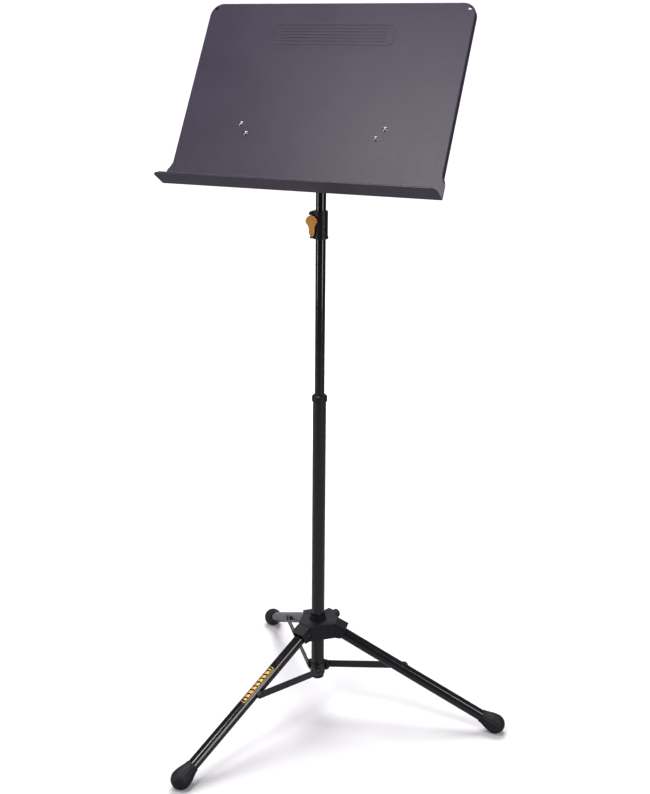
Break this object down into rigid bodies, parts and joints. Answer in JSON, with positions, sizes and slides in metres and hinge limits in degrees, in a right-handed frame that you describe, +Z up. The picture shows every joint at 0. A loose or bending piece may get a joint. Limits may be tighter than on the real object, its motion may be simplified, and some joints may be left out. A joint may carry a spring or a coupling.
{
  "type": "orchestra music stand",
  "caption": "Orchestra music stand: solid bent sheet desk with ledge, tilting on a telescopic swivelling mast with a squeeze-grip height lock and a folding tripod base with struts",
  "frame": {"origin": "on the floor under the mast axis", "axes": "+Z up along the mast, the desk faces -Y, +X to its right as seen from the front"},
  "size_m": [0.6228, 0.6465, 1.3484],
  "materials": {
    "desk_coat": "satin textured powder coat",
    "tube_gloss": "gloss black enamel",
    "black_steel": "semi-gloss black",
    "black_plastic": "fine moulded texture",
    "foot_rubber": "matte",
    "amber_plastic": "satin amber",
    "zinc_steel": "zinc plated",
    "black_oxide": "black oxide",
    "spring_steel": "drawn wire",
    "nylon": "natural nylon",
    "brass": "machined",
    "gold_print": "printed film on gloss black"
  },
  "bodies": {
    "column": {"lower_tube": "tube_gloss", "guide_collar": "black_plastic", "bottom_bracket": "black_steel", "bracket_rivets": "black_oxide", "bottom_plug": "black_plastic"},
    "collet": {"lock_collet": "nylon"},
    "mast": {"mast_head": "black_plastic", "inner_tube": "tube_gloss", "grip_front": "black_plastic", "grip_back": "black_plastic", "grip_screws": "black_oxide", "trigger_pin": "zinc_steel", "lock_plug": "black_plastic", "lock_spring": "spring_steel"},
    "rod": {"release_rod": "zinc_steel", "lock_cone": "brass", "spring_washer": "zinc_steel"},
    "trigger": {"trigger": "amber_plastic"},
    "desk": {"bookplate": "desk_coat", "plate_rivets": "black_oxide", "rear_bracket": "black_steel", "tilt_bolt": "black_oxide", "tilt_nut": "black_oxide", "friction_washers": "nylon"},
    "hub": {"hub_body": "black_plastic", "hub_collar": "black_plastic", "leg_pins": "black_oxide"},
    "hub_lock": {"hub_lock_pin": "zinc_steel", "hub_lock_knob": "black_plastic", "hub_lock_spring": "spring_steel"},
    "leg_1": {"leg_tube_1": "tube_gloss", "leg_plug_1": "black_plastic", "foot_1": "foot_rubber", "leg_boss_1": "black_oxide", "leg_label": "gold_print"},
    "strut_1": {"strut_1": "black_steel", "strut_rivet_1": "black_oxide"},
    "leg_2": {"leg_tube_2": "tube_gloss", "leg_plug_2": "black_plastic", "foot_2": "foot_rubber", "leg_boss_2": "black_oxide"},
    "strut_2": {"strut_2": "black_steel", "strut_rivet_2": "black_oxide"},
    "leg_3": {"leg_tube_3": "tube_gloss", "leg_plug_3": "black_plastic", "foot_3": "foot_rubber", "leg_boss_3": "black_oxide"},
    "strut_3": {"strut_3": "black_steel", "strut_rivet_3": "black_oxide"}
  },
  "joints": [
    {"name": "height", "type": "slide", "parent": "column", "child": "collet", "axis": [0, 0, 1], "range_m": [-0.28, 0.18]},
    {"name": "mast_swivel", "type": "hinge", "parent": "collet", "child": "mast", "pos_m": [0, 0, 0.43], "axis": [0, 0, 1], "continuous": true},
    {"name": "desk_tilt", "type": "hinge", "parent": "mast", "child": "desk", "pos_m": [0, 0, 1.158], "axis": [-1, 0, 0], "range_deg": [-20, 58]},
    {"name": "squeeze", "type": "hinge", "parent": "mast", "child": "trigger", "pos_m": [-0.0125, 0, 0.9595], "axis": [0, 1, 0], "range_deg": [0, 8]},
    {"name": "release", "type": "slide", "parent": "mast", "child": "rod", "axis": [0, 0, -1], "range_m": [0, 0.0022], "stiffness_N_per_m": 900, "springref_m": -0.006, "deforming": ["lock_spring"]},
    {"name": "fold", "type": "slide", "parent": "column", "child": "hub", "axis": [0, 0, 1], "range_m": [0, 0.22182]},
    {"name": "hub_lock_pull", "type": "slide", "parent": "hub", "child": "hub_lock", "axis": [0.3478, 0.9376, 0], "range_m": [0, 0.004], "stiffness_N_per_m": 500, "springref_m": -0.01},
    {"name": "leg_1_fold", "type": "hinge", "parent": "hub", "child": "leg_1", "pos_m": [-0.01321, -0.03563, 0.1827], "axis": [0.9376, -0.3478, 0], "range_deg": [0, 62.7]},
    {"name": "strut_1_fold", "type": "hinge", "parent": "column", "child": "strut_1", "pos_m": [0.0097, -0.0164, 0.0939], "axis": [-0.9376, 0.3478, 0], "range_deg": [0, 73.82]},
    {"name": "leg_2_fold", "type": "hinge", "parent": "hub", "child": "leg_2", "pos_m": [0.03746, 0.00637, 0.1827], "axis": [-0.1676, 0.9859, 0], "range_deg": [0, 62.7]},
    {"name": "strut_2_fold", "type": "hinge", "parent": "column", "child": "strut_2", "pos_m": [0.00935, 0.0166, 0.0939], "axis": [0.1676, -0.9859, 0], "range_deg": [0, 73.82]},
    {"name": "leg_3_fold", "type": "hinge", "parent": "hub", "child": "leg_3", "pos_m": [-0.02425, 0.02926, 0.1827], "axis": [-0.77, -0.6381, 0], "range_deg": [0, 62.7]},
    {"name": "strut_3_fold", "type": "hinge", "parent": "column", "child": "strut_3", "pos_m": [-0.01905, -0.0002, 0.0939], "axis": [0.77, 0.6381, 0], "range_deg": [0, 73.82]}
  ],
  "couplings": [
    {"joint": "squeeze", "follows": "release", "rad_per_m": 63.46},
    {"joint": "leg_1_fold", "follows": "fold", "rad_per_m": 4.9329},
    {"joint": "strut_1_fold", "follows": "fold", "rad_per_m": 5.8078},
    {"joint": "leg_2_fold", "follows": "fold", "rad_per_m": 4.9329},
    {"joint": "strut_2_fold", "follows": "fold", "rad_per_m": 5.8078},
    {"joint": "leg_3_fold", "follows": "fold", "rad_per_m": 4.9329},
    {"joint": "strut_3_fold", "follows": "fold", "rad_per_m": 5.8078}
  ]
}
